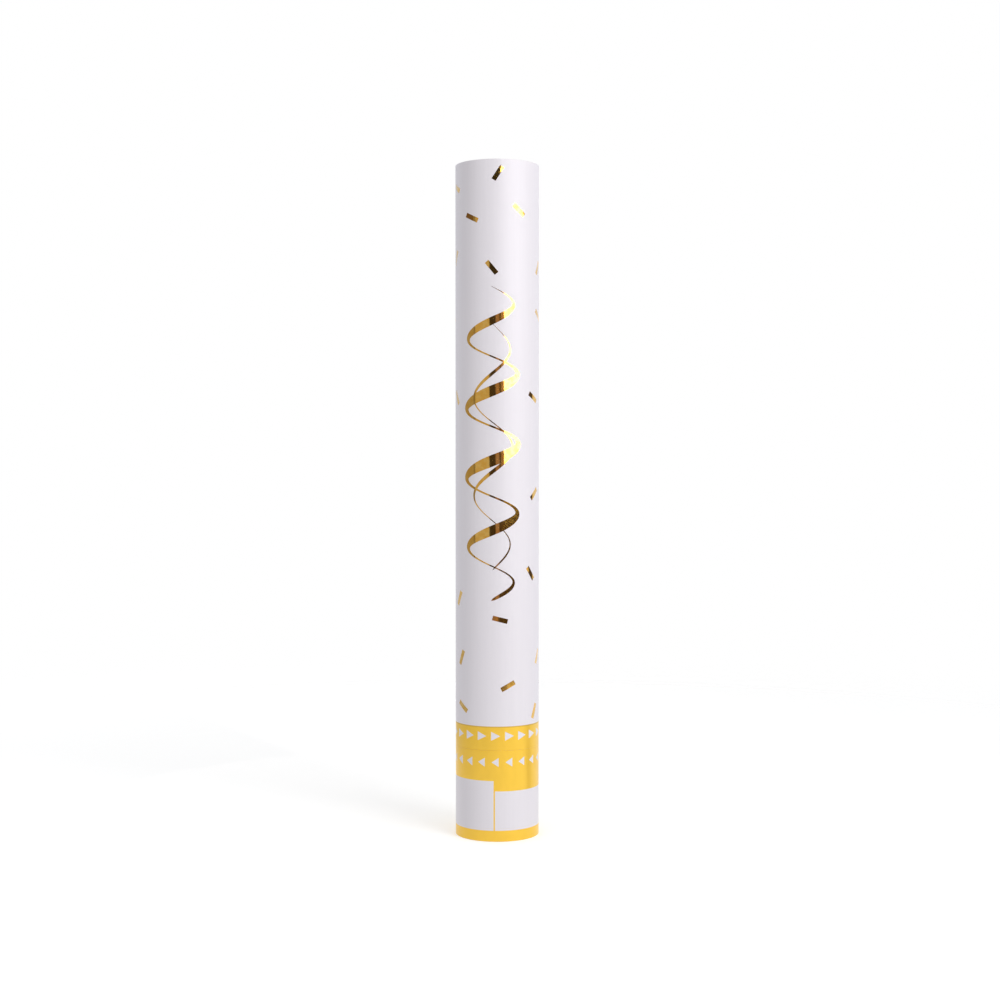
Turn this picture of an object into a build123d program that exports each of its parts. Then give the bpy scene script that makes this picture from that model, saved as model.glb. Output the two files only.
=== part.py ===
"""Twist-fired confetti popper.

A card barrel, packed with confetti slips, stands on a short card grip that holds a bottle of compressed gas.
Twisting the grip turns a bayonet collar on the bottle's neck round a stopper that the barrel keeps from
turning, so the stopper climbs out of the neck. The gas then drives a wad up the barrel, and the wad pushes
the confetti and the mouth plug out.

Frame: millimetres, +Z up the tube, origin at the middle of the foot. Levels are heights above the foot.
"""
from build123d import *
import math
import os

# Whole popper
popper_length = 400.0
popper_diameter = 50.0  # over the paper wraps
seam_height = 53.8  # middle of the joint between grip and barrel
seam_gap = 0.4

# Card tubes and paper wraps
tube_wall = 2.2
wrap_thickness = 0.25
wrap_setback = 0.1  # the paper stops this far short of the card's cut ends
mouth_chamfer = 0.4

# Clearances
glue_film = 0.05  # between pieces of one body that are glued or pressed together
running_gap = 0.2  # round pieces that turn or slide on each other
seat_gap = 0.3  # under a loose piece that rests on another

# Gas bottle
bottle_side_gap = 1.0  # between the bottle and the hub's sleeve
bottle_wall = 1.0
bottle_body_height = 88.0
bottle_shoulder_height = 9.0
bottle_foot_inset = 3.0
bottle_dome_depth = 5.0
neck_bore = 14.0
neck_wall = 3.0
neck_height = 9.0
lip_reach = 1.0
lip_height = 3.0

# Filling plug in the bottle's base
fill_hole = 6.0
fill_head_reach = 2.0
fill_head_height = 1.4
fill_barb_reach = 1.2
fill_barb_height = 3.0

# Bayonet: lugs on the release plug, ledges in the valve collar
lug_count = 3
lug_span = 36.0  # degrees
lug_reach = 3.6
lug_height = 2.2
lug_gap = 0.4
ledge_overlap = 4.0  # degrees by which a ledge passes each end of its lug
ledge_height = 2.6
bayonet_lead = 18.0  # climb of lugs and ledges in one whole turn
bayonet_gap = 0.3

# Valve collar and the ferrule round its skirt
collar_wall = 2.4
collar_rim = 1.0  # wall above the highest ledge
collar_web = 0.8
skirt_wall = 2.2
skirt_height = 7.5
ferrule_thickness = 0.6

# Release plug
flange_overhang = 2.2
flange_height = 5.4
stem_depth = 6.5
stem_core = 7.0  # moulding core hole in the stem
stem_core_roof = 3.0
key_span = 12.0
key_thickness = 3.2
key_height = 13.0
seal_section = 2.4
seal_depth = 1.7  # from the neck's top down to the seal's middle
seal_groove_play = 0.1

# Guide cage in the barrel
cage_wall = 1.8
cage_skirt = 2.0  # ring below the boss
boss_wall = 2.4
boss_height = 14.0
boss_roof = 2.0
spoke_count = 4
spoke_thickness = 2.4
spoke_rise = 5.0  # slope of a spoke's lower edge
plug_stop_gap = 2.0

# Bearing bush in the barrel and hub in the grip
bush_wall = 1.6
bush_height = 26.0
bead_reach = 0.7
bead_height = 2.0
bead_drop = 6.0  # from the sleeve's top down to the bead's middle
sleeve_wall = 1.5
sleeve_setback = 2.0  # the sleeve ends this far below the bush's top
finger_count = 6  # spring fingers that carry the bead
finger_slot_width = 2.0
finger_slot_depth = 14.0
hub_wall = 1.8
hub_floor = 2.0
hub_recess = 4.0
hub_rib_count = 6
hub_rib_thickness = 1.6
foot_rib_depth = 2.6
foot_boss_diameter = 12.0
stop_tab_span = 14.0  # degrees
stop_tab_height = 4.0
stop_tab_reach = 1.2
stop_play = 0.6  # degrees left at each end of the twist

# Wad, confetti and mouth plug
wad_gap = 0.35
wad_board_thickness = 2.0
wad_felt_thickness = 8.0
wad_felt_inset = 0.6
slip_width = 20.0
slip_length = 50.0
layer_gap = 0.4
stack_gap = 0.4
stack_wall_gap = 0.6
pack_thickness = 2.7  # about this much of a stack lies square together
fan_out = 0.35  # how far packs stand out of line
fan_turn_sideways = 2.4  # radians of the wave that sets them out of line, from pack to pack
fan_turn_upwards = 1.7
mouth_plug_thickness = 10.0
mouth_plug_recess = 3.0
mouth_plug_gap = 0.2
mouth_plug_bevel = 0.8

layer_names = ("lower", "middle", "upper")

# Twist: half the pitch of the lugs brings each lug to the middle of a gap between ledges
twist_angle = 180.0 / lug_count
plug_lift = bayonet_lead * twist_angle / 360.0

# Radii, from the outside in
wrap_outer_r = popper_diameter / 2
wrap_inner_r = wrap_outer_r - wrap_thickness
tube_outer_r = wrap_inner_r - glue_film
tube_bore_r = tube_outer_r - tube_wall
lining_r = tube_bore_r - glue_film  # outside of everything that is glued into a tube
bush_bore_r = lining_r - bush_wall
sleeve_outer_r = bush_bore_r - running_gap
sleeve_bore_r = sleeve_outer_r - sleeve_wall
bottle_r = sleeve_bore_r - bottle_side_gap
hub_inner_r = lining_r - hub_wall

# Radii, from the neck's bore out
neck_bore_r = neck_bore / 2
neck_r = neck_bore_r + neck_wall
lip_r = neck_r + lip_reach
skirt_outer_r = lip_r + glue_film + skirt_wall
stem_r = neck_bore_r - running_gap
flange_r = neck_bore_r + flange_overhang
lug_r = flange_r + lug_reach
cavity_r = lug_r + lug_gap
collar_outer_r = cavity_r + collar_wall
boss_r = key_span / 2 + running_gap + boss_wall

# Levels, from the foot up
grip_top = seam_height - seam_gap / 2
barrel_base = seam_height + seam_gap / 2
hub_floor_top = hub_recess + hub_floor
bottle_base = hub_floor_top + glue_film
bottle_dome = bottle_base + bottle_dome_depth
shoulder_base = bottle_base + bottle_body_height
neck_base = shoulder_base + bottle_shoulder_height
neck_top = neck_base + neck_height
lip_base = neck_top - lip_height
skirt_base = neck_top - skirt_height
web_base = neck_top + glue_film
web_top = web_base + collar_web

ledge_span = lug_span + 2 * ledge_overlap
lug_fall = bayonet_lead * lug_span / 720.0  # from a lug's middle to its low end
ledge_climb = bayonet_lead * ledge_span / 720.0
lug_middle = web_top + bayonet_gap + lug_fall + lug_height / 2
ledge_middle = lug_middle + lug_height / 2 + bayonet_gap + ledge_height / 2
collar_top = ledge_middle + ledge_height / 2 + ledge_climb + collar_rim
flange_base = web_top + bayonet_gap
flange_top = flange_base + flange_height
key_top = flange_top + key_height
boss_base = flange_top + plug_lift + plug_stop_gap
cage_base = boss_base - cage_skirt
cage_top = boss_base + boss_height

wad_base = cage_top + seat_gap
felt_base = wad_base + wad_board_thickness + glue_film
confetti_base = felt_base + wad_felt_thickness + seat_gap
mouth_plug_top = popper_length - mouth_plug_recess
mouth_plug_base = mouth_plug_top - mouth_plug_thickness

bush_top = barrel_base + bush_height
sleeve_top = bush_top - sleeve_setback
bead_middle = sleeve_top - bead_drop


def bevelled(points, cuts):
    """Corners of a closed outline, each with a cut replaced by two points that far along its edges."""
    corners = []
    for place, cut in enumerate(cuts):
        point = points[place]
        before = points[place - 1]
        after = points[(place + 1) % len(points)]
        if cut:
            corners.append(point + (before - point).normalized() * cut)
            corners.append(point + (after - point).normalized() * cut)
        else:
            corners.append(point)
    return corners


def turned(*corners, rounded=False):
    """Solid of revolution about Z.

    Each corner is (radius, level), or (radius, level, cut): the cut bevels the corner, or is its radius if
    rounded.
    """
    points = [Vector(*corner[:2]) for corner in corners]
    cuts = [corner[2] if len(corner) == 3 else 0 for corner in corners]
    if rounded:
        outline = FilletPolyline(*points, radius=cuts, close=True)
    else:
        outline = Polyline(*bevelled(points, cuts), close=True)
    return revolve(make_face(Plane.XZ * outline), Axis.Z)


def ring(inner_r, outer_r, low, high):
    """Plain ring about Z."""
    return turned((inner_r, low), (outer_r, low), (outer_r, high), (inner_r, high))


def sector(inner_r, outer_r, low, high, start, span):
    """Part of a ring, from the angle start on, counter-clockwise, in degrees."""
    section = make_face(Plane.XZ * Polyline(
        (inner_r, low), (outer_r, low), (outer_r, high), (inner_r, high), close=True))
    return Rot(0, 0, start) * revolve(section, Axis.Z, span)


def helical_bar(inner_r, outer_r, height, middle, span):
    """Bar that climbs at the bayonet's lead, with its middle over +X at the given level."""
    climb = bayonet_lead * span / 360.0
    path = Helix(bayonet_lead, climb, (inner_r + outer_r) / 2)
    across = Plane(path @ 0, x_dir=(1, 0, 0), z_dir=path % 0)
    bar = sweep(across * Rectangle(outer_r - inner_r, height), path=path, is_frenet=True)
    return Pos(0, 0, middle - climb / 2) * Rot(0, 0, -span / 2) * bar


def around(count, shape):
    """Copies of a shape at equal angles about Z."""
    return [Rot(0, 0, 360.0 * number / count) * shape for number in range(count)]


def radial_rib(inner_r, outer_r, low, high, thickness):
    """Upright rib that points outwards along +X."""
    return Pos((inner_r + outer_r) / 2, 0, (low + high) / 2) * Box(outer_r - inner_r, thickness, high - low)


def cross(span, thickness, low, high):
    """Upright bar with a cross-shaped section."""
    section = Rectangle(span, thickness) + Rectangle(thickness, span)
    return Pos(0, 0, low) * extrude(section, high - low)


def barrel_tube():
    return turned(
        (tube_bore_r, barrel_base),
        (tube_outer_r, barrel_base),
        (tube_outer_r, popper_length),
        (tube_bore_r, popper_length, mouth_chamfer),
    )


def barrel_wrap():
    return ring(wrap_inner_r, wrap_outer_r, barrel_base + wrap_setback, popper_length - wrap_setback)


def grip_tube():
    return ring(tube_bore_r, tube_outer_r, 0, grip_top)


def grip_wrap():
    return ring(wrap_inner_r, wrap_outer_r, wrap_setback, grip_top - wrap_setback)


def bead(reach_r, half_height):
    """Corners of a bead on the sleeve, or of its groove in the bush, from the bottom up."""
    slope = bead_reach
    return (
        (reach_r, bead_middle - half_height + slope),
        (reach_r, bead_middle + half_height - slope),
    )


def barrel_bush():
    """Bearing ring with a groove for the hub's snap bead and a window for its stop tab."""
    half_groove = bead_height / 2 + running_gap
    groove_r = bush_bore_r + bead_reach
    body = turned(
        (bush_bore_r, barrel_base),
        (lining_r, barrel_base),
        (lining_r, bush_top),
        (bush_bore_r, bush_top),
        (bush_bore_r, bead_middle + half_groove),
        *reversed(bead(groove_r, half_groove)),
        (bush_bore_r, bead_middle - half_groove),
    )
    window_span = twist_angle + stop_tab_span + 2 * stop_play
    window = sector(
        sleeve_bore_r,
        tube_bore_r,
        barrel_base - seam_gap,
        grip_top + stop_tab_height + seat_gap,
        -twist_angle - stop_tab_span / 2 - stop_play,
        window_span,
    )
    return body - window


def grip_hub():
    """Base, bottle cradle and bearing sleeve in one moulding, with spring fingers at the sleeve's top."""
    half_bead = bead_height / 2
    bead_r = sleeve_outer_r + bead_reach
    body = turned(
        (hub_inner_r, 0),
        (lining_r, 0),
        (lining_r, grip_top),
        (sleeve_outer_r, grip_top),
        (sleeve_outer_r, bead_middle - half_bead),
        *bead(bead_r, half_bead),
        (sleeve_outer_r, bead_middle + half_bead),
        (sleeve_outer_r, sleeve_top, sleeve_wall / 3),
        (sleeve_bore_r, sleeve_top, sleeve_wall / 3),
        (sleeve_bore_r, grip_top - hub_wall),
        (hub_inner_r, grip_top - hub_wall),
        (hub_inner_r, hub_floor_top, hub_wall / 2),
        (0, hub_floor_top),
        (0, hub_recess),
        (hub_inner_r, hub_recess),
    )
    rib_end_r = lining_r - hub_wall / 2  # ribs run on into the wall and into the floor
    rib_root = hub_recess + hub_floor / 2
    cradle_rib = radial_rib(
        bottle_r + glue_film, rib_end_r, rib_root, grip_top - hub_wall / 2, hub_rib_thickness)
    foot_boss_r = foot_boss_diameter / 2
    foot_rib_base = hub_recess - foot_rib_depth
    foot_rib = radial_rib(
        foot_boss_r - hub_rib_thickness / 2, rib_end_r, foot_rib_base, rib_root, hub_rib_thickness)
    foot_boss = ring(foot_boss_r - hub_rib_thickness, foot_boss_r, foot_rib_base, rib_root)
    stop_tab = sector(
        sleeve_outer_r - sleeve_wall / 2,
        sleeve_outer_r + stop_tab_reach,
        grip_top - hub_wall / 2,
        grip_top + stop_tab_height,
        -stop_tab_span / 2,
        stop_tab_span,
    )
    finger_slot = Rot(0, 0, 180.0 / finger_count) * radial_rib(
        sleeve_bore_r - bead_reach,
        bead_r + bead_reach,
        sleeve_top - finger_slot_depth,
        sleeve_top + bead_height,
        finger_slot_width,
    )
    ribs = around(hub_rib_count, cradle_rib) + around(hub_rib_count, foot_rib)
    return body + ribs + [foot_boss, stop_tab] - around(finger_count, finger_slot)


def gas_bottle():
    """Drawn aluminium bottle: domed base with a filling hole, cone shoulder, thick neck with a lip."""
    slope = bottle_shoulder_height / (bottle_r - neck_r)
    shoulder_wall = bottle_wall * math.hypot(1, slope)  # measured upright
    foot_r = bottle_r - bottle_foot_inset
    fill_hole_r = fill_hole / 2
    dome_flat_r = fill_hole_r + fill_head_reach + bottle_wall
    inner_r = bottle_r - bottle_wall
    foot_thickness = 1.5 * bottle_wall

    def inside_shoulder(radius):
        return shoulder_base + (bottle_r - radius) * slope - shoulder_wall

    return turned(
        (fill_hole_r, bottle_dome),
        (dome_flat_r, bottle_dome),
        (foot_r - bottle_wall, bottle_base),
        (foot_r, bottle_base),
        (bottle_r, bottle_base + bottle_foot_inset, bottle_foot_inset),
        (bottle_r, shoulder_base, bottle_shoulder_height),
        (neck_r, neck_base, bottle_wall),
        (neck_r, lip_base),
        (lip_r, lip_base),
        (lip_r, neck_top),
        (neck_bore_r, neck_top),
        (neck_bore_r, inside_shoulder(neck_bore_r)),
        (inner_r, inside_shoulder(inner_r), bottle_shoulder_height - bottle_wall),
        (inner_r, bottle_base + bottle_foot_inset + bottle_wall / 2),
        (foot_r - bottle_wall / 2, bottle_base + foot_thickness),
        (dome_flat_r, bottle_dome + bottle_wall),
        (fill_hole_r, bottle_dome + bottle_wall),
        rounded=True,
    )


def fill_plug():
    """Rubber plug pressed through the bottle's base: a flat head outside, a barb inside."""
    stem = fill_hole / 2 - glue_film
    head = fill_hole / 2 + fill_head_reach
    barb = fill_hole / 2 + fill_barb_reach
    head_top = bottle_dome - glue_film
    barb_base = bottle_dome + bottle_wall + glue_film
    return turned(
        (0, head_top - fill_head_height),
        (head, head_top - fill_head_height, fill_head_height / 3),
        (head, head_top),
        (stem, head_top),
        (stem, barb_base),
        (barb, barb_base),
        (stem, barb_base + fill_barb_height),
        (0, barb_base + fill_barb_height),
    )


def valve_collar():
    """Collar snapped over the neck's lip, with helical ledges that hold the release plug down."""
    neck_fit_r = neck_r + glue_film
    groove_r = lip_r + glue_film
    body = turned(
        (neck_fit_r, skirt_base),
        (skirt_outer_r, skirt_base),
        (skirt_outer_r, lip_base),
        (collar_outer_r, neck_top),
        (collar_outer_r, collar_top, collar_wall / 4),
        (cavity_r, collar_top, collar_wall / 4),
        (cavity_r, web_top),
        (neck_bore_r + lug_gap, web_top),
        (neck_bore_r + lug_gap, web_base),
        (groove_r, web_base),
        (groove_r, lip_base - glue_film),
        (neck_fit_r, lip_base - glue_film),
    )
    ledge = helical_bar(
        flange_r + lug_gap, cavity_r + collar_wall / 2, ledge_height, ledge_middle, ledge_span)
    return body + around(lug_count, ledge)


def crimp_ferrule():
    """Metal band round the collar's skirt, with its lower edge rolled in under the skirt."""
    band_r = skirt_outer_r + glue_film
    roll_r = neck_r + ferrule_thickness
    roll_top = skirt_base - glue_film
    return turned(
        (roll_r, roll_top - ferrule_thickness),
        (band_r + ferrule_thickness, roll_top - ferrule_thickness, ferrule_thickness),
        (band_r + ferrule_thickness, lip_base),
        (band_r, lip_base),
        (band_r, roll_top),
        (roll_r, roll_top),
    )


def seal_groove_r():
    """Radius of the floor of the release plug's seal groove."""
    return neck_bore_r - glue_film - seal_section - glue_film


def release_plug():
    """Bottle stopper: stem with seal groove, flange with helical lugs, cross-shaped key on top."""
    seal_middle = neck_top - seal_depth
    half_groove = seal_section / 2 + seal_groove_play
    body = turned(
        (0, flange_top - stem_core_roof),
        (stem_core / 2, flange_top - stem_core_roof),
        (stem_core / 2, neck_top - stem_depth),
        (stem_r, neck_top - stem_depth),
        (stem_r, seal_middle - half_groove),
        (seal_groove_r(), seal_middle - half_groove),
        (seal_groove_r(), seal_middle + half_groove),
        (stem_r, seal_middle + half_groove),
        (stem_r, flange_base),
        (flange_r, flange_base),
        (flange_r, flange_top, flange_overhang / 3),
        (0, flange_top),
    )
    lug = helical_bar(stem_r, lug_r, lug_height, lug_middle, lug_span)
    key = cross(key_span, key_thickness, flange_top - flange_height / 2, key_top)
    return body + around(lug_count, lug) + key


def plug_o_ring():
    ring_r = neck_bore_r - glue_film - seal_section / 2
    return Pos(0, 0, neck_top - seal_depth) * Torus(ring_r, seal_section / 2)


def guide_cage():
    """Ring glued in the barrel, with spokes to a boss whose socket keys the release plug."""
    rim = ring(lining_r - cage_wall, lining_r, cage_base, cage_top)
    boss = turned((0, boss_base), (boss_r, boss_base, boss_wall / 3), (boss_r, cage_top), (0, cage_top))
    spoke_end = lining_r - cage_wall / 2
    spoke_side = make_face(Plane.XZ * Polyline(
        (0, boss_base + spoke_rise),
        (boss_r, boss_base + spoke_rise),
        (spoke_end, boss_base),
        (spoke_end, cage_top),
        (0, cage_top),
        close=True))
    spoke = extrude(spoke_side, spoke_thickness / 2, both=True)
    socket = cross(
        key_span + 2 * running_gap, key_thickness + 2 * running_gap, boss_base, cage_top - boss_roof)
    return rim + boss + around(spoke_count, spoke) - socket


def wad_board():
    return turned(
        (0, wad_base),
        (tube_bore_r - wad_gap, wad_base),
        (tube_bore_r - wad_gap, wad_base + wad_board_thickness),
        (0, wad_base + wad_board_thickness),
    )


def wad_felt():
    felt_r = tube_bore_r - wad_gap - wad_felt_inset
    felt_top = felt_base + wad_felt_thickness
    return turned(
        (0, felt_base),
        (felt_r, felt_base),
        (felt_r, felt_top, wad_felt_inset),
        (0, felt_top),
    )


def slip_stack(thickness, low, number):
    """Slips stacked along +X from x = 0, in packs that stand a little out of line."""
    packs = max(2, round(thickness / pack_thickness))
    pack = thickness / packs
    stack = Part()
    for place in range(packs):
        sideways = fan_out * math.sin(fan_turn_sideways * place + number)
        upwards = fan_out * math.sin(fan_turn_upwards * place + 2 * number)
        block = Box(pack, slip_width - 2 * fan_out, slip_length - 2 * fan_out)
        stack += Pos((place + 0.5) * pack, sideways, low + slip_length / 2 + upwards) * block
    return stack


def confetti_layer(layer):
    """Four stacks of one layer: two fill the middle of the bore, one the space at each side."""
    low = confetti_base + layer * (slip_length + layer_gap)
    half_width = slip_width / 2
    reach = math.sqrt((tube_bore_r - stack_wall_gap) ** 2 - half_width ** 2)
    middle_thickness = reach - stack_gap / 2
    side_thickness = reach - half_width - stack_gap
    middle_start = Pos(stack_gap / 2, 0, 0)
    side_start = Pos(half_width + stack_gap, 0, 0)
    quarter = 90
    places = (
        ("right", 0, side_start, side_thickness),
        ("back", 1, middle_start, middle_thickness),
        ("left", 2, side_start, side_thickness),
        ("front", 3, middle_start, middle_thickness),
    )
    return {
        f"confetti_{layer_names[layer]}_{side}":
            Rot(0, 0, quarter * turn) * start * slip_stack(thickness, low, 4 * layer + turn)
        for side, turn, start, thickness in places
    }


def mouth_plug():
    plug_r = tube_bore_r - mouth_plug_gap
    return turned(
        (0, mouth_plug_base),
        (plug_r, mouth_plug_base, mouth_plug_bevel),
        (plug_r, mouth_plug_top, mouth_plug_bevel),
        (0, mouth_plug_top),
    )


pieces = {
    "barrel_tube": barrel_tube(),
    "barrel_wrap": barrel_wrap(),
    "barrel_bush": barrel_bush(),
    "guide_cage": guide_cage(),
    "grip_tube": grip_tube(),
    "grip_wrap": grip_wrap(),
    "grip_hub": grip_hub(),
    "gas_bottle": gas_bottle(),
    "fill_plug": fill_plug(),
    "valve_collar": valve_collar(),
    "crimp_ferrule": crimp_ferrule(),
    "release_plug": release_plug(),
    "plug_o_ring": plug_o_ring(),
    "wad_board": wad_board(),
    "wad_felt": wad_felt(),
    "mouth_plug": mouth_plug(),
}
for layer in range(len(layer_names)):
    pieces.update(confetti_layer(layer))

os.makedirs("parts", exist_ok=True)
for name, piece in pieces.items():
    export_step(piece, f"parts/{name}.step")
print(f"twist {twist_angle:.1f} degrees lifts the release plug {plug_lift:.3f} mm")
print(f"confetti from {confetti_base:.2f} mm, mouth plug from {mouth_plug_base:.2f} mm")
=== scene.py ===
"""Looks of the confetti popper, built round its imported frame.

Metres, +Z up the tube, origin at the middle of the foot. Angles round the tube start at the front (-Y)
and grow towards the right (+X). Heights are above the foot.
"""
from itertools import product
from math import pi, radians, tau

import bmesh
import bpy
import numpy as np
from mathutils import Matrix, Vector

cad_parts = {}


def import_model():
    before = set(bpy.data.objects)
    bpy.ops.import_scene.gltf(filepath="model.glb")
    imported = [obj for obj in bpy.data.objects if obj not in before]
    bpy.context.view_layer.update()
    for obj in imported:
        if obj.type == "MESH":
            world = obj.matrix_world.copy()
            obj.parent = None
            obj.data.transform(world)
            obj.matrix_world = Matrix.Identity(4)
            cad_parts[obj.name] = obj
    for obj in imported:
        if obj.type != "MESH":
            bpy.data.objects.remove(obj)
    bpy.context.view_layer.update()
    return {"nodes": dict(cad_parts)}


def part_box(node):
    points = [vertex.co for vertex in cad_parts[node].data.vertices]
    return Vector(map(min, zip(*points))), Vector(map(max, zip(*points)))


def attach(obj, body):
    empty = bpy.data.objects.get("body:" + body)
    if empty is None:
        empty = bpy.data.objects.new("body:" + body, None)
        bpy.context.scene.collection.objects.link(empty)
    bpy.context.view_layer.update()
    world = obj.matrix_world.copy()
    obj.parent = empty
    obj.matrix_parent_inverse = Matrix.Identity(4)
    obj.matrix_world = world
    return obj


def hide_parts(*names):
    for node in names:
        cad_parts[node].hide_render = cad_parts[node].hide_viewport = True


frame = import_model()
scene = bpy.context.scene
mm = 0.001

# Tube, from the frame
barrel_low, barrel_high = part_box("barrel_tube")
grip_low, grip_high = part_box("grip_tube")
tube_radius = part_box("barrel_wrap")[1].x
card_radius = barrel_high.x
glue_film = 0.05 * mm  # between the card's bore and the bush
card_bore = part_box("barrel_bush")[1].x + glue_film
seam = (barrel_low.z + grip_high.z) / 2
barrel_top = barrel_high.z
foot = grip_low.z

# Fineness of the meshes
weld_distance = 1e-7
sharp_angle = radians(35)  # an edge that bends further stays sharp
paper_columns = 360
paper_rows = 9
card_columns = 180
ply_points = 8  # across each ply of a rim
disc_columns = 120
disc_edge_points = 7
disc_crown_points = 14
foil_points = 5  # across each strip of stamped foil
fleck_points = 6  # along each fleck
streamer_points = 240  # along each streamer
slip_points = 6  # along each slip
mirror_card_bends = 12

# Paper wraps
paper_thickness = 0.25 * mm
paper_lap = 0.1 * mm  # step where the sheet's end lies over its start
lap_angle = radians(104)
paper_setback = 0.1 * mm  # at the mouth and at the foot
paper_edge = 0.06 * mm  # how far its cut edges are softened
paper_core = 0.1 * mm  # depth from which a cut edge is bare white
seam_half_gap = 0.015 * mm  # the two sheets almost meet at the joint

# Card tubes
ply_count = 5
ply_ridge = 0.06 * mm
rim_burr = 0.18 * mm
burr_power = 8  # the higher, the closer the burr keeps to both edges of the rim
spiral_rise = 70 * mm
spiral_joint = (0.494, 0.498)  # where its shade starts and is full, in turns from midway between joints

# Print on the wraps
print_bleed = 0.06 * mm
band_top = 68.0 * mm
band_line = 0.7 * mm  # darker line along the band's top edge
panel_divider = radians(-3.9)
panel_divider_half = 0.4 * mm
panel_reach = radians(101)  # how far each panel runs round from the divider
panel_low = 6.6 * mm
left_panel_high = 35.9 * mm
right_panel_high = 29.8 * mm
paper_roughness = 0.46
ink_gloss = 0.16  # how much smoother the ink is than the paper
ink_metal = 0.3

# Arrow rows: angle of one arrow's middle, height, length, and 1 where they point right or -1 left
arrow_count = 19
arrow_half_height = 2.65 * mm
barrel_arrows = (radians(-2), 62.3 * mm, 5.4 * mm, 1)
grip_arrows = (radians(-2.8), 46.9 * mm, 4.2 * mm, -1)

# Foil stamped on the barrel wrap
foil_lift = 0.03 * mm
foil_sink = 0.01 * mm
fleck_length = 9.2 * mm
fleck_width = 2.8 * mm
print_repeat = 188  # degrees round the tube to where the flecks and streamers come again

# Flecks: angle in degrees, height in mm, rise to the right in degrees
flecks = (
    (1, 391.6, 57), (-36.5, 366.4, -25), (31, 370.6, -40), (-7.4, 336.8, -50), (4, 130.8, -14),
    (15, 91.7, 28), (-54, 78.5, -34), (-57, 107.5, 65), (61, 75.5, 65), (-63, 142.5, 62),
    (-72, 385.5, -28), (-75, 344.5, 60), (73, 338.5, 58), (74, 310.5, -35), (-71, 261.5, -60),
    (71, 107.5, 62), (58, 261.5, -30), (61, 204.5, 40), (52, 157.5, -52),
)

# Streamers, in degrees and mm: angle, low and high end, sway, sways, broadest and narrowest half width
streamers = (
    (-8, 142, 326, 16.5, 4.5, 3.3, 0.55),
    (-6, 160, 304, 12.0, 2.5, 1.1, 0.3),
)
streamer_tip = 0.08 * mm  # half width where a streamer runs out
streamer_taper = 0.35  # power of the sine that thins a streamer out: the lower, the blunter its ends
streamer_calm = 0.6  # sway at the ends, as a share of the sway midway
streamer_pinch = 1.5  # the higher, the shorter the broad stretches

# Foam and felt
foam_edge = 1.2 * mm
foam_crown = 0.6 * mm
felt_edge = 1.5 * mm
felt_crown = 0.4 * mm

# Slips of confetti
slip_film = 0.05 * mm
slip_pitch = 1.15 * mm  # at the fanned end of a stack
slip_tight_share = 0.64  # thickness of the tight end, as a share of the fanned end
slip_turn = radians(2.6)
slip_twist = radians(1.1)
slip_shift = 0.6 * mm
slip_bow = 0.28 * mm
slip_curl = 0.55 * mm
slip_bends = (-1, -0.4, 0.4, 1)  # places across a slip, in half widths
stack_margin = 0.15 * mm
first_seed = 20

# Colours, as they are in plain light
paper_white = (0.80, 0.765, 0.81)
gold_ink = (0.975, 0.60, 0.055)
gold_ink_line = (0.55, 0.36, 0.05)
gold_foil = (0.96, 0.57, 0.115)
gold_foil_deep = (0.90, 0.46, 0.045)
grey_card = (0.62, 0.56, 0.47)
wad_grey = (0.52, 0.50, 0.47)
foam_white = (0.90, 0.90, 0.89)
felt_light = (0.5, 0.49, 0.47)
felt_dark = (0.2, 0.2, 0.21)
white_plastic = (0.82, 0.82, 0.80)
black_plastic = (0.03, 0.03, 0.032)
red_plastic = (0.55, 0.03, 0.025)
bottle_aluminium = (0.86, 0.86, 0.87)
ferrule_aluminium = (0.78, 0.77, 0.74)
rubber_black = (0.018, 0.018, 0.018)
rubber_bloom = (0.06, 0.06, 0.058)

# Set
black = (0.0, 0.0, 0.0)
white = (1.0, 1.0, 1.0)
floor_grey = (0.724, 0.724, 0.724)
floor_lift = 0.4  # glow that whitens the floor where it is looked at
floor_fade = (0.3, 0.9)  # distances where the floor starts and ends to thin out
fill_level = 0.608  # even light on the popper, where the backdrop has 1
camera_place = (0.0017, -0.9607, 0.221)
camera_aim = (0.0017, 0, 0.2005)
camera_lens = 57.6  # mm
camera_sensor = 36  # mm

# Lamps: place, aim, width and height, and watts
lamps = (
    ("key", (0.87, -1.03, 0.75), (0, 0, 0.24), 0.7, 0.9, 10.5),
    ("rim", (-1.0, 1.1, 0.6), (0, 0, 0.2), 0.6, 0.9, 5.0),
    ("low_left", (-0.42, -0.3, 0.06), (0, 0, 0.06), 0.3, 0.1, 0.13),
    ("right", (0.75, -0.05, 0.25), (0, 0, 0.2), 0.3, 0.6, 0.35),
)

# Tints of the cards
warm = (1.0, 0.72, 0.8)  # turns the foil's dark bands brown
cool = (0.9, 1.0, 1.15)  # keeps the foil at the tube's sides from turning orange

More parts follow.
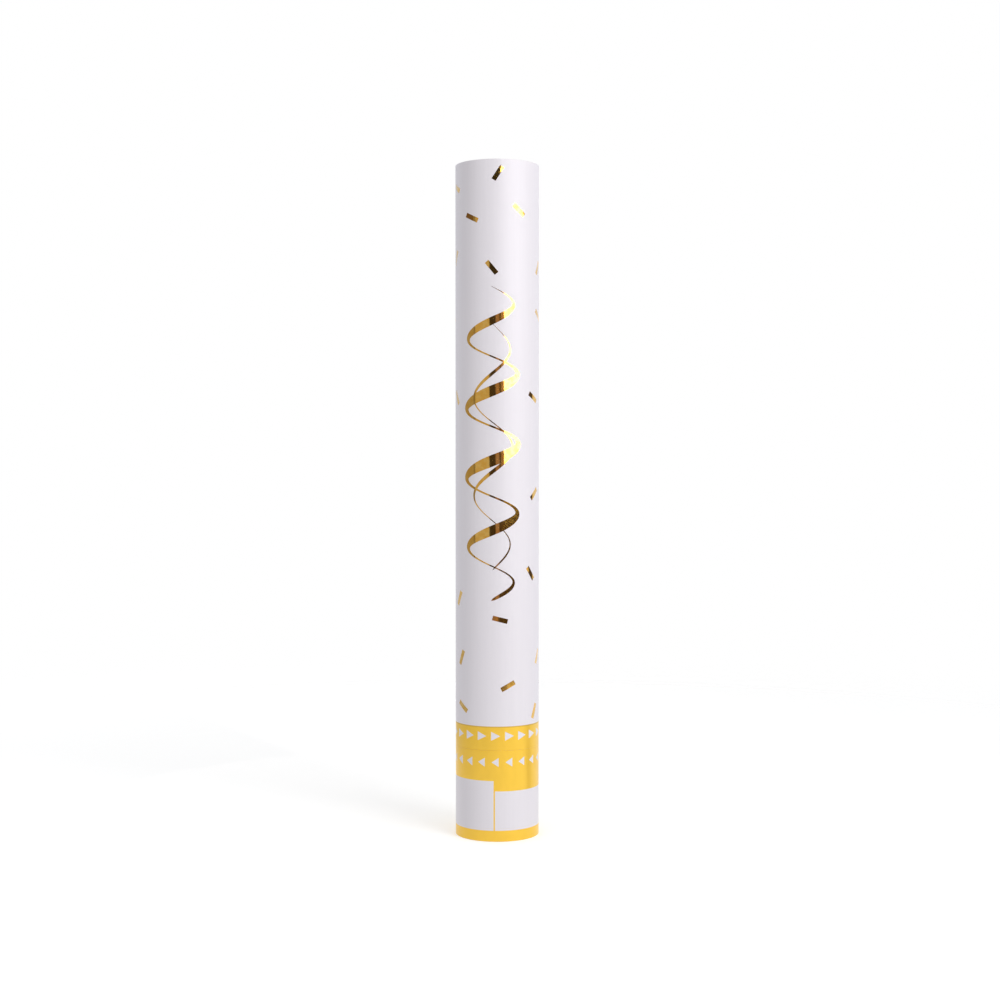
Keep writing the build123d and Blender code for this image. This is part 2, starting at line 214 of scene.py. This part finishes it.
# Cards round the set: start and end angle, distance and height of both edges, brightness, tint
far_wall = ((1.5, 0), (1.5, 2))
near_wall = ((1.2, 0), (1.2, 1.6))
mirror_cards = (
    ("back_left_card", -170, -104, *far_wall, 0.6, cool),
    ("left_card", -104, -67, *far_wall, 0.33, white),
    ("left_top_card", -92, -68, (1.45, 0.52), (1.45, 2), 0.11, warm),
    ("left_stripe_card", -67, -62, *far_wall, 0.2, white),
    ("left_front_card", -62, -21, *far_wall, 0.49, white),
    ("front_left_card", -21, -4, *far_wall, 0.03, warm),
    ("front_gap_card", -4, 6, *far_wall, 0.3, warm),
    ("front_stripe_card", 6, 10, *far_wall, 0.04, warm),
    ("front_right_card", 10, 19, (1.5, 0.2), (1.5, 2), 0.28, warm),
    ("low_front_card", 10, 19, (1.5, 0), (1.5, 0.2), 0.07, warm),
    ("front_top_card", -21, 9.5, (1.45, 0.485), (1.45, 2), 0.005, warm),
    ("bright_top_card", 9.5, 74, (1.2, 0.5), (1.2, 1.6), 4.8, white),
    ("bright_card", 19, 74, (1.2, 0.225), (1.2, 0.5), 5.0, white),
    ("half_bright_card", 19, 74, (1.2, 0.18), (1.2, 0.225), 0.6, white),
    ("skirt_card", 19, 74, (1.2, 0), (1.2, 0.18), 0.05, warm),
    ("right_middle_card", 74, 96, *near_wall, 0.8, white),
    ("dark_card", 96, 113, *near_wall, 0.05, warm),
    ("right_card", 113, 150, *near_wall, 0.85, cool),
    ("left_floor_card", -150, -21, (0.3, 0.002), (1.5, 0.002), 0.42, cool),
    ("front_floor_card", -21, 50, (0.66, 0.002), (1.5, 0.002), 0.04, warm),
    ("front_gap_floor_card", -14, 2, (0.66, 0.004), (1.5, 0.004), 0.34, warm),
    ("low_fleck_card", 2, 27, (0.48, 0.004), (0.7, 0.004), 0.06, warm),
    ("right_floor_card", 84, 100, (0.12, 0.002), (1.2, 0.002), 0.1, warm),
    ("back_right_floor_card", 100, 150, (0.3, 0.002), (1.2, 0.002), 0.85, cool),
)


# Shader maths
class Grade:
    """A number that varies over a surface. Arithmetic on grades adds Math nodes to their wiring."""

    def __init__(self, wiring, socket):
        self.wiring = wiring
        self.socket = socket

    def __add__(self, other):
        return self.wiring.math("ADD", self, other)

    def __radd__(self, other):
        return self.wiring.math("ADD", other, self)

    def __sub__(self, other):
        return self.wiring.math("SUBTRACT", self, other)

    def __rsub__(self, other):
        return self.wiring.math("SUBTRACT", other, self)

    def __mul__(self, other):
        return self.wiring.math("MULTIPLY", self, other)

    def __rmul__(self, other):
        return self.wiring.math("MULTIPLY", other, self)

    def __truediv__(self, other):
        return self.wiring.math("DIVIDE", self, other)

    def __rtruediv__(self, other):
        return self.wiring.math("DIVIDE", other, self)

    def __mod__(self, other):
        return self.wiring.math("FLOORED_MODULO", self, other)

    def __neg__(self):
        return self.wiring.math("MULTIPLY", self, -1)

    def __abs__(self):
        return self.wiring.math("ABSOLUTE", self)

    def least(self, other):
        return self.wiring.math("MINIMUM", self, other)

    def most(self, other):
        return self.wiring.math("MAXIMUM", self, other)

    def ramp(self, low, high):
        """Smooth rise from 0 at low to 1 at high, flat outside."""
        sockets = {"Value": self, "From Min": low, "From Max": high}
        return self.wiring.node("ShaderNodeMapRange", {"interpolation_type": "SMOOTHSTEP"}, sockets)


class Wiring:
    """A node tree, and the one way that nodes are added to it."""

    def __init__(self, tree):
        self.tree = tree

    def node(self, kind, settings=None, sockets=None, output=0):
        """Adds a node of this kind: its settings first, then its sockets' values or links."""
        made = self.tree.nodes.new(kind)
        for setting, value in (settings or {}).items():
            setattr(made, setting, value)
        for socket, value in (sockets or {}).items():
            self.feed(made.inputs[socket], value)
        return Grade(self, made.outputs[output])

    def feed(self, socket, value):
        """Links a grade to the socket, or sets a plain value on it."""
        if isinstance(value, Grade):
            self.tree.links.new(value.socket, socket)
        elif socket.type == "RGBA":
            socket.default_value = (*value, 1.0)
        else:
            socket.default_value = value

    def math(self, operation, *numbers):
        return self.node("ShaderNodeMath", {"operation": operation}, dict(enumerate(numbers)))


class Finish(Wiring):
    """One material: a Principled shader, and the nodes that vary it over the surface."""

    def __init__(self, name, **fixed):
        self.material = bpy.data.materials.new(name)
        self.material.use_nodes = True
        super().__init__(self.material.node_tree)
        self.shader = self.tree.nodes["Principled BSDF"]
        for socket, value in fixed.items():
            self.wear(socket.replace("_", " ").title(), value)

    def wear(self, socket, value):
        """Sets or links one socket of the shader."""
        self.feed(self.shader.inputs[socket], value)

    def place(self, stretch=(1.0, 1.0, 1.0)):
        """The point on the piece, with each axis stretched for a pattern."""
        point = self.node("ShaderNodeTexCoord", output="Object")
        return self.node("ShaderNodeMapping", {}, {"Vector": point, "Scale": stretch})

    def around(self):
        """The point's angle from the front, its distance from the axis and its height."""
        point = {"Vector": self.place()}
        x, y, height = (self.node("ShaderNodeSeparateXYZ", {}, point, axis) for axis in "XYZ")
        return self.math("ARCTAN2", x, -y), self.math("SQRT", x * x + y * y), height

    def noise(self, grain, stretch=(1.0, 1.0, 1.0), detail=3.0, rough=0.55):
        """Noise whose features are about one grain wide, from 0 to 1."""
        fineness = {"Scale": 1 / grain, "Detail": detail, "Roughness": rough}
        return self.node("ShaderNodeTexNoise", {}, {"Vector": self.place(stretch), **fineness})

    def cells(self, grain):
        """Distance from the middles of round cells about one grain wide."""
        sockets = {"Vector": self.place(), "Scale": 1 / grain}
        return self.node("ShaderNodeTexVoronoi", {}, sockets, "Distance")

    def mix(self, share, first, second):
        """First colour where share is 0, second where it is 1."""
        return self.node("ShaderNodeMix", {"data_type": "RGBA"}, {0: share, 6: first, 7: second}, 2)

    def emboss(self, height, depth, strength):
        """Bump of this depth, from a height between 0 and 1."""
        sockets = {"Height": height, "Distance": depth, "Strength": strength}
        self.wear("Normal", self.node("ShaderNodeBump", {}, sockets))


def darker(colour, share):
    """The colour with each part cut to this share."""
    return tuple(part * share for part in colour)


# Meshes
def loft(name, rings, round_trip=False):
    """Closed skin through loops of points: rings[c, i, j] is point j of loop i of copy c.

    Neighbouring loops are joined by four-sided faces. The last loop joins the first on a round trip, and
    otherwise both ends are capped. Points that fall together, as on an axis, become one.
    """
    copies, rows, count = rings.shape[:3]
    index = np.arange(copies * rows * count).reshape(copies, rows, count)
    here = index if round_trip else index[:, :-1]
    ahead = np.roll(index, -1, 1) if round_trip else index[:, 1:]
    corners = [here, np.roll(here, -1, 2), np.roll(ahead, -1, 2), ahead]
    faces = np.stack(corners, -1).reshape(-1, 4).tolist()
    if not round_trip:
        faces += index[:, 0, ::-1].tolist() + index[:, -1].tolist()
    mesh = bpy.data.meshes.new(name)
    mesh.from_pydata(rings.reshape(-1, 3).tolist(), [], faces)
    work = bmesh.new()
    work.from_mesh(mesh)
    bmesh.ops.remove_doubles(work, verts=work.verts, dist=weld_distance)
    bmesh.ops.recalc_face_normals(work, faces=work.faces)
    work.to_mesh(mesh)
    work.free()
    mesh.polygons.foreach_set("use_smooth", np.ones(len(mesh.polygons), bool))
    mesh.set_sharp_from_angle(angle=sharp_angle)
    return mesh


def round_tube(radius, angle, height):
    """Points at these radii, angles from the front and heights."""
    radius, angle, height = np.broadcast_arrays(radius, angle, height)
    return np.stack([radius * np.sin(angle), -radius * np.cos(angle), height], -1)


def turned(name, radius, height, columns):
    """Solid of revolution: the loop of radii and heights is carried once round the axis."""
    angle = np.arange(columns)[:, None] * tau / columns
    return loft(name, round_tube(radius[None], angle, height[None])[None], True)


def strip_section(places):
    """Loop round a thin strip's section, out along its top and back below.

    Gives each point's place across, in half widths, and its face: 1 for the top and -1 for the bottom.
    """
    return np.concatenate([places, places[::-1]]), np.repeat((1, -1), len(places))


def dressed(mesh, finish, body, slot, *nodes):
    """Makes the mesh a piece, gives it its finish and body, and lets it stand for these nodes."""
    piece = bpy.data.objects.new(mesh.name, mesh)
    scene.collection.objects.link(piece)
    mesh.materials.append(finish.material)
    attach(piece, body)
    if nodes:
        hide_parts(*nodes)
    return piece


# Paper
def wound_radius(turn):
    """Outside of a wound sheet: over its one turn, from 0 to 1, it grows evenly by a lap."""
    return tube_radius - paper_lap * (1 - turn)


def paper_radius(angle):
    """Outside of the wound sheet at this angle: its turn starts at the lap."""
    return wound_radius(((angle - lap_angle) % tau) / tau)


def paper_sleeve(name, low, high):
    """Sheet wound once round the tube: a loop of points, carried round, follows the wound radius.

    The loop runs out along the low edge, up the outside and back in along the high edge. The outside is
    trimmed where it meets the edges, which softens them.
    """
    turn = np.linspace(0, 1, paper_columns + 1)[:, None]
    inside = tube_radius - paper_thickness
    levels = np.linspace(low + paper_edge, high - paper_edge, paper_rows)
    height = np.concatenate([[low, low], levels, [high, high]])
    outer = np.concatenate([[0, 1], np.ones(paper_rows), [1, 0]])
    trim = np.concatenate([[0, paper_edge], np.zeros(paper_rows), [paper_edge, 0]])
    radius = inside + (wound_radius(turn) - inside - trim) * outer
    return loft(name, round_tube(radius, lap_angle + tau * turn, height)[None], True)


def printed_paper(name, print_mask):
    """Coated white paper: satin gold ink where print_mask says, and a white core at its cut edges."""
    finish = Finish(name)
    angle, radius, height = finish.around()
    depth = paper_radius(angle) - radius
    ink = print_mask(angle, height) * (1 - depth.ramp(paper_edge, paper_core))
    streaks = finish.noise(1.6 * mm, stretch=(1, 1, 0.03), detail=2)
    fibres = finish.noise(0.25 * mm, stretch=(1, 1, 0.6), detail=4)
    mottle = finish.noise(9 * mm, stretch=(1, 1, 0.5), detail=2)
    paper_tone = (streaks * 0.6 + fibres * 0.4).ramp(0.25, 0.75)
    paper = finish.mix(paper_tone, darker(paper_white, 0.975), paper_white)
    gold_tone = (streaks * 0.2 + mottle * 0.8).ramp(0.3, 0.7)
    gold = finish.mix(gold_tone, darker(gold_ink, 0.96), gold_ink)
    line = inside_edge(height - (band_top - band_line))
    gold = finish.mix(line * 0.6, gold, gold_ink_line)
    finish.wear("Base Color", finish.mix(ink, paper, gold))
    finish.wear("Roughness", paper_roughness - ink * ink_gloss + (fibres - 0.5) * 0.06)
    finish.wear("Metallic", ink * ink_metal)
    finish.emboss(fibres * 0.7 + streaks * 0.3, depth=0.006 * mm, strength=0.3)
    return finish


def inside_edge(distance):
    """1 where the distance from a printed edge is inwards, 0 outside, over the bleed of the ink."""
    return distance.ramp(-print_bleed, print_bleed)


def arrow_row(angle, height, start, middle, length, pointing):
    """Row of triangles round the tube: the half height falls evenly from the base to the tip."""
    pitch = tau * tube_radius / arrow_count
    turn = (angle - start) * (arrow_count / tau)
    along = ((turn + 0.5) % 1.0 - 0.5) * (pitch * pointing)
    from_base = along + length / 2
    half = (1 - from_base / length) * arrow_half_height
    return inside_edge(from_base.least(half - abs(height - middle)))


def panel(angle, height, left, right, high):
    """Bare panel between two arcs round the tube, from the foot ring up to high."""
    across = angle * tube_radius
    sides = (across - left).least(right - across)
    ends = (height - panel_low).least(high - height)
    return inside_edge(sides.least(ends))


def barrel_print(angle, height):
    """Gold band from the joint up to the band's top, less a row of white arrows."""
    return inside_edge(band_top - height) * (1 - arrow_row(angle, height, *barrel_arrows))


def grip_print(angle, height):
    """Gold all over, less a row of white arrows and the two white panels."""
    arrows = arrow_row(angle, height, *grip_arrows)
    divider = panel_divider * tube_radius
    reach = panel_reach * tube_radius
    left = panel(angle, height, divider - reach, divider - panel_divider_half, left_panel_high)
    right = panel(angle, height, divider + panel_divider_half, divider + reach, right_panel_high)
    return 1 - arrows.most(left).most(right)


def paper_wraps():
    """The barrel's sheet and the grip's."""
    sheets = (
        ("barrel", seam + seam_half_gap, barrel_top - paper_setback, barrel_print),
        ("grip", foot + paper_setback, seam - seam_half_gap, grip_print),
    )
    for body, low, high, print_mask in sheets:
        sleeve = paper_sleeve(f"{body}_paper", low, high)
        finish = printed_paper(f"{body}_paper", print_mask)
        dressed(sleeve, finish, body, f"{body}_print", f"{body}_wrap")


# Foil stamped on the paper
def stamped(name, across, up, half_width):
    """Thin strips of foil laid on the wound paper.

    Row c of across and up is strip c's middle line on the unrolled paper, and half_width its half width
    there. Each section is square to the line, and has as many points below as on top.
    """
    ahead_across = np.gradient(across, axis=1)
    ahead_up = np.gradient(up, axis=1)
    length = np.hypot(ahead_across, ahead_up)
    side, face = strip_section(np.linspace(-1, 1, foil_points))
    lift = np.where(face > 0, foil_lift, -foil_sink)
    reach = half_width[..., None] * side
    angle = (across[..., None] - reach * (ahead_up / length)[..., None]) / tube_radius
    height = up[..., None] + reach * (ahead_across / length)[..., None]
    return loft(name, round_tube(paper_radius(angle) + lift, angle, height))


def twice_round(rows):
    """The rows' columns, for the front and again for the back, where only the first, the angle, grows."""
    front = np.array(rows, float)
    back = front.copy()
    back[:, 0] += print_repeat
    return np.concatenate([front, back]).T[..., None]


def foil_flecks():
    """Rectangles of foil: straight strips of even width."""
    angle, height, rise = twice_round(flecks)
    along = np.linspace(-fleck_length / 2, fleck_length / 2, fleck_points)
    across = np.radians(angle) * tube_radius + along * np.cos(np.radians(rise))
    up = height * mm + along * np.sin(np.radians(rise))
    mesh = stamped("foil_flecks", across, up, np.full_like(across, fleck_width / 2))
    dressed(mesh, gold_leaf("foil_flecks"), "barrel", "barrel_print")


def foil_streamers():
    """Curling ribbons: sine waves up the tube, broad on the way right and narrow on the way back."""
    middle, low, high, sway, sways, broad, narrow = twice_round(streamers)
    share = np.linspace(0, 1, streamer_points)
    swing = tau * sways * share
    taper = np.sin(pi * share) ** streamer_taper
    calm = streamer_calm + (1 - streamer_calm) * taper
    across = np.radians(middle) * tube_radius + sway * mm * np.sin(swing) * calm
    up = (low + (high - low) * share) * mm
    breadth = (0.5 + 0.5 * np.cos(swing)) ** streamer_pinch
    half = (narrow + (broad - narrow) * breadth) * mm
    mesh = stamped("foil_streamers", across, up, np.maximum(half * taper, streamer_tip))
    dressed(mesh, gold_leaf("foil_streamers"), "barrel", "barrel_print")


def gold_leaf(name):
    """Mirror gold foil on paper: deep gold metal under clear lacquer, hazed a little by the paper."""
    finish = Finish(name, metallic=1.0, coat_weight=1.0)
    haze = finish.noise(3 * mm, detail=2)
    press = finish.noise(0.6 * mm, detail=2)
    finish.wear("Base Color", finish.mix(haze.ramp(0.35, 0.7), gold_foil_deep, gold_foil))
    finish.wear("Roughness", 0.06 + haze * 0.06)
    finish.emboss(press, depth=0.006 * mm, strength=0.12)
    return finish


# Card tubes
def card_tube(name, low, high):
    """Spiral-wound card: bore, cut rim with its plies as shallow ridges, outside, and a like rim below.

    The ridges are a sine that dies out towards both edges of the rim, where the burr lowers it.
    """
    across = np.linspace(0, 1, ply_points * ply_count + 1)
    plies = ply_ridge * np.sin(across * tau * ply_count) * np.sin(pi * across)
    burr = rim_burr * np.abs(2 * across - 1) ** burr_power
    rim_radius = card_bore + (card_radius - card_bore) * across
    radius = np.concatenate([rim_radius, rim_radius[::-1]])
    height = np.concatenate([low + burr - plies, (high - burr + plies)[::-1]])
    return turned(name, radius, height, card_columns)


def card(name, light, wound=True):
    """Paper board: fibres and specks. A wound tube has plies on its rim and a spiral joint inside."""
    finish = Finish(name)
    dark = darker(light, 0.66)
    fibres = finish.noise(0.5 * mm, stretch=(1, 1, 0.35), detail=4)
    specks = finish.noise(0.9 * mm, detail=1).ramp(0.66, 0.74)
    tone = fibres.ramp(0.25, 0.75) * 0.65 + 0.2
    relief = fibres
    if wound:
        angle, radius, height = finish.around()
        plies = finish.math("SINE", radius * (ply_count * tau / (card_radius - card_bore)))
        joint = abs((height / spiral_rise - angle / tau) % 1.0 - 0.5).ramp(*spiral_joint)
        tone = tone + plies * 0.22
        relief = fibres - joint
    colour = finish.mix(tone, dark, light)
    colour = finish.mix(specks * 0.35, colour, darker(dark, 0.5))
    if wound:
        colour = finish.mix(joint * 0.6, colour, darker(dark, 0.45))
    finish.wear("Base Color", colour)
    finish.wear("Roughness", 0.78 + fibres * 0.15)
    finish.emboss(relief, depth=0.05 * mm, strength=0.6)
    return finish


def card_tubes():
    """The barrel's tube and the grip's."""
    for body, low, high in (("barrel", barrel_low.z, barrel_top), ("grip", foot, grip_high.z)):
        tube = card_tube(f"{body}_card", low, high)
        dressed(tube, card(f"{body}_card", grey_card), body, "tube_card", f"{body}_tube")


# Foam, felt and slips
def soft_disc(name, node, edge, crown):
    """Round pad: flat below, rounded edges, and a top that rises to the middle by the crown."""
    low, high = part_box(node)
    flat = high.x - edge
    quarter = np.linspace(0, pi / 2, disc_edge_points)
    lower_radius = flat + edge * np.sin(quarter)
    lower_height = low.z + edge - edge * np.cos(quarter)
    upper_radius = flat + edge * np.cos(quarter)
    upper_height = high.z - crown - edge + edge * np.sin(quarter)
    inner = np.linspace(flat, 0, disc_crown_points)[1:]
    dome = high.z - crown * (inner / flat) ** 2
    radius = np.concatenate([[0], lower_radius, upper_radius, inner])
    height = np.concatenate([[low.z], lower_height, upper_height, dome])
    return turned(name, radius, height, disc_columns)


def foam():
    """Closed-cell foam: white, dull, with small round cells, and painted shade darkening the grooves
    between them.
    """
    finish = Finish("mouth_foam")
    cell_grooves_and_shade = finish.cells(1.3 * mm)
    fine = finish.noise(0.4 * mm)
    # painted shade: a little darker towards the grooves between cells, where the bump dips
    finish.wear("Base Color", finish.mix(cell_grooves_and_shade.ramp(0.25, 0.8), foam_white, darker(foam_white, 0.9)))
    finish.wear("Roughness", 0.68 + fine * 0.2)
    finish.emboss(cell_grooves_and_shade * -0.8 + fine * 0.2, depth=0.16 * mm, strength=0.6)
    return finish


def felt():
    """Pressed wool: matted fibres in two greys."""
    finish = Finish("wad_felt_pad", sheen_weight=0.3)
    strands = finish.noise(0.7 * mm, stretch=(1, 1, 2.5), detail=5, rough=0.7)
    patches = finish.noise(4 * mm)
    tone = (strands * 0.7 + patches * 0.3).ramp(0.3, 0.7)
    finish.wear("Base Color", finish.mix(tone, felt_dark, felt_light))
    finish.wear("Roughness", 0.86 + strands * 0.1)
    finish.emboss(strands, depth=0.25 * mm, strength=0.7)
    return finish


def soft_pieces():
    """The foam plug in the mouth and the felt pad on the wad."""
    plug_disc = soft_disc("mouth_foam", "mouth_plug", foam_edge, foam_crown)
    plug = dressed(plug_disc, foam(), "mouth_plug", "white_foam", "mouth_plug")
    pad_disc = soft_disc("wad_felt_pad", "wad_felt", felt_edge, felt_crown)
    pad = dressed(pad_disc, felt(), "wad", "wad_pad", "wad_felt")


def slip_stack(name, node, thick_axis, loose_end, seed):
    """Loose stack of foil slips, closer together at one end and fanned out at the other.

    Slip k lies at an even share of the stack's thickness, which grows evenly towards the loose end: 1
    for the top and -1 for the bottom. The slips of a stack curl across by the same amount, and each has
    a small turn, twist, shift and bow of its own.
    """
    low, high = (np.array(corner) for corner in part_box(node))
    middle = (low + high) / 2
    half = (high - low) / 2 - stack_margin
    width_axis = 1 - thick_axis
    half_length = half[2] - slip_shift - half[width_axis] * slip_turn
    half_width = half[width_axis] - slip_shift - half[2] * slip_turn
    count = int(2 * half[thick_axis] / slip_pitch)
    draw = np.random.default_rng(seed)
    turn, twist, shift, slide, bow = draw.uniform(-1, 1, (5, count, 1, 1))
    curl = slip_curl * draw.choice((-1, 1))
    layer = np.linspace(-1, 1, count)[:, None, None]
    along = np.linspace(-1, 1, slip_points)[:, None]
    side, face = strip_section(np.array(slip_bends))
    fan = slip_tight_share + (1 - slip_tight_share) * (1 + loose_end * along) / 2
    room = half[thick_axis] - slip_bow - slip_curl / 2 - half_width * slip_twist
    bend = bow * slip_bow * (1 - along ** 2) + curl * (0.5 - side ** 2)
    skew = twist * slip_twist * half_width * side
    lean = turn * slip_turn
    points = np.empty((count, len(along), len(side), 3))
    points[..., thick_axis] = layer * room * fan + bend + skew + face * slip_film / 2
    points[..., width_axis] = side * half_width - along * half_length * lean + shift * slip_shift
    points[..., 2] = along * half_length + side * half_width * lean + slide * slip_shift
    return loft(name, points + middle)


def slip_foil():
    """Metallised film: mirror gold, softly creased, with painted shade: a deeper gold where each crease
    dips.
    """
    finish = Finish("gold_slips", metallic=1.0)
    creases_and_shade = finish.noise(9 * mm, detail=2)
    scuffs = finish.noise(1.2 * mm, detail=4)
    # painted shade: the deeper gold lies in the low parts of the crease bump
    finish.wear("Base Color", finish.mix(creases_and_shade.ramp(0.35, 0.65), gold_foil_deep, gold_foil))
    finish.wear("Roughness", 0.07 + scuffs * 0.12)
    finish.emboss(creases_and_shade, depth=0.16 * mm, strength=0.5)
    return finish


def confetti():
    """Three layers of four stacks: thick along x at the right and left, along y at the back and front.

    Every third stack is loose at the bottom, and the others at the top.
    """
    film = slip_foil()
    layers = ("lower", "middle", "upper")
    sides = (("right", 0), ("back", 1), ("left", 0), ("front", 1))
    for seed, (layer, (side, thick_axis)) in enumerate(product(layers, sides), first_seed):
        node = f"confetti_{layer}_{side}"
        loose_end = 1 if seed % 3 else -1
        stack = slip_stack(f"slips_{layer}_{side}", node, thick_axis, loose_end, seed)
        dressed(stack, film, f"confetti_{layer}", "gold_slips", node)


# Mouldings and metal
def moulding(name, colour, dull):
    """Injection moulding: faint sink and flow marks, and a fine sparked grain."""
    finish = Finish(name)
    flow = finish.noise(7 * mm, stretch=(1, 1, 0.4))
    grain = finish.noise(0.18 * mm, detail=2)
    finish.wear("Base Color", finish.mix(flow.ramp(0.3, 0.7), darker(colour, 0.9), colour))
    finish.wear("Roughness", dull + flow * 0.1 + grain * 0.06)
    finish.emboss(grain * 0.6 + flow * 0.4, depth=0.02 * mm, strength=0.5)
    return finish


def spun_metal(name, colour, dull):
    """Drawn and spun metal: fine rings round the axis."""
    finish = Finish(name, metallic=1.0)
    rings = finish.noise(0.15 * mm, stretch=(0.02, 0.02, 1))
    smear = finish.noise(9 * mm)
    finish.wear("Base Color", finish.mix(rings.ramp(0.3, 0.7), darker(colour, 0.86), colour))
    finish.wear("Roughness", dull + rings * 0.14 + smear * 0.08)
    finish.emboss(rings, depth=0.008 * mm, strength=0.5)
    return finish


def rubber():
    """Moulded black rubber with a dusty bloom."""
    finish = Finish("black_rubber")
    bloom = finish.noise(2 * mm, detail=4)
    finish.wear("Base Color", finish.mix(bloom.ramp(0.45, 0.75), rubber_black, rubber_bloom))
    finish.wear("Roughness", 0.55 + bloom * 0.3)
    finish.emboss(bloom, depth=0.02 * mm, strength=0.4)
    return finish


def cad_finishes():
    """Gives every node that still shows the finish of its material slot."""
    finishes = {
        "white_moulding": moulding("white_moulding", white_plastic, dull=0.36),
        "black_moulding": moulding("black_moulding", black_plastic, dull=0.34),
        "red_moulding": moulding("red_moulding", red_plastic, dull=0.32),
        "bottle_metal": spun_metal("bottle_metal", bottle_aluminium, dull=0.2),
        "ferrule_metal": spun_metal("ferrule_metal", ferrule_aluminium, dull=0.16),
        "black_rubber": rubber(),
        "wad_card": card("wad_card", wad_grey, wound=False),
    }
    for node in frame["nodes"].values():
        slot = node.data.materials[0].name if node.data.materials else ""
        if slot in finishes:
            node.data.materials[0] = finishes[slot].material


# Stage
def stage_piece(name, points, faces, material):
    """Sheet of the set, which is no part of the popper."""
    mesh = bpy.data.meshes.new(name)
    mesh.from_pydata(points, [], faces)
    mesh.materials.append(material)
    piece = bpy.data.objects.new(name, mesh)
    scene.collection.objects.link(piece)
    return piece


def seen_rays(wiring):
    """1 for rays that look at the set: straight, mirrored or through glass."""
    straight, mirrored, through = (
        wiring.node("ShaderNodeLightPath", output=f"Is {kind} Ray")
        for kind in ("Camera", "Glossy", "Transmission")
    )
    return straight.most(mirrored).most(through)


def floor():
    """White floor that keeps the popper's shadow.

    It thins out into the backdrop with the distance, is clear from below and stops no fill light.
    """
    finish = Finish("floor", base_color=floor_grey, roughness=0.9)
    glow = {"Color": white, "Strength": seen_rays(finish) * floor_lift}
    lift = finish.node("ShaderNodeEmission", {}, glow)
    matt = Grade(finish, finish.shader.outputs[0])
    surface = finish.node("ShaderNodeAddShader", {}, {0: matt, 1: lift})
    distance = finish.around()[1]
    below = finish.node("ShaderNodeNewGeometry", output="Backfacing")
    thin = below.most(distance.ramp(*floor_fade))
    clear = finish.node("ShaderNodeBsdfTransparent")
    shown = finish.node("ShaderNodeMixShader", {}, {0: thin, 1: surface, 2: clear})
    finish.feed(finish.tree.nodes["Material Output"].inputs["Surface"], shown)
    reach = floor_fade[1]
    corners = ((-reach, -reach), (reach, -reach), (reach, reach), (-reach, reach))
    sheet = stage_piece("floor", [(x, y, foot) for x, y in corners], [(0, 1, 2, 3)], finish.material)
    sheet.visible_diffuse = False


def mirror_card(name, start, end, near, far, level, tint):
    """Card that only mirrors see, between two angles: its edges lie at two distances and heights."""
    finish = Finish(name, base_color=black, emission_color=tint, emission_strength=level)
    finish.material.cycles.emission_sampling = "NONE"
    angle = np.radians(np.linspace(start, end, mirror_card_bends + 1))[:, None]
    distance, height = np.array([near, far]).T
    points = round_tube(distance, angle, height).reshape(-1, 3)
    first = 2 * np.arange(mirror_card_bends)
    faces = np.stack([first, first + 1, first + 3, first + 2], -1)
    piece = stage_piece(name, points.tolist(), faces.tolist(), finish.material)
    for ray in ("camera", "diffuse", "transmission", "volume_scatter", "shadow"):
        setattr(piece, f"visible_{ray}", False)


def aimed(name, data, place, aim):
    """Lamp or camera at a place, turned to its aim."""
    holder = bpy.data.objects.new(name, data)
    holder.location = place
    holder.rotation_euler = (Vector(aim) - Vector(place)).to_track_quat("-Z", "Y").to_euler()
    scene.collection.objects.link(holder)
    return holder


def soft_lamp(name, place, aim, width, height, watts):
    """Soft box. Mirrors see the cards instead."""
    lamp = bpy.data.lights.new(name, "AREA")
    lamp.shape = "RECTANGLE"
    lamp.size = width
    lamp.size_y = height
    lamp.energy = watts
    box = aimed(name, lamp, place, aim)
    box.visible_glossy = False


def world():
    """White backdrop, and a lower even light on the popper."""
    studio = bpy.data.worlds.new("studio")
    studio.use_nodes = True
    scene.world = studio
    wiring = Wiring(studio.node_tree)
    background = wiring.tree.nodes["Background"].inputs
    wiring.feed(background["Color"], white)
    wiring.feed(background["Strength"], fill_level + seen_rays(wiring) * (1 - fill_level))


def camera():
    """Camera a little above the popper's middle, tipped down."""
    lens = bpy.data.cameras.new("camera")
    lens.sensor_width = camera_sensor
    lens.lens = camera_lens
    scene.camera = aimed("camera", lens, camera_place, camera_aim)


scene.view_settings.view_transform = "Standard"
paper_wraps()
foil_flecks()
foil_streamers()
card_tubes()
soft_pieces()
confetti()
cad_finishes()
world()
floor()
camera()
for lamp_row in lamps:
    soft_lamp(*lamp_row)
for card_row in mirror_cards:
    mirror_card(*card_row)
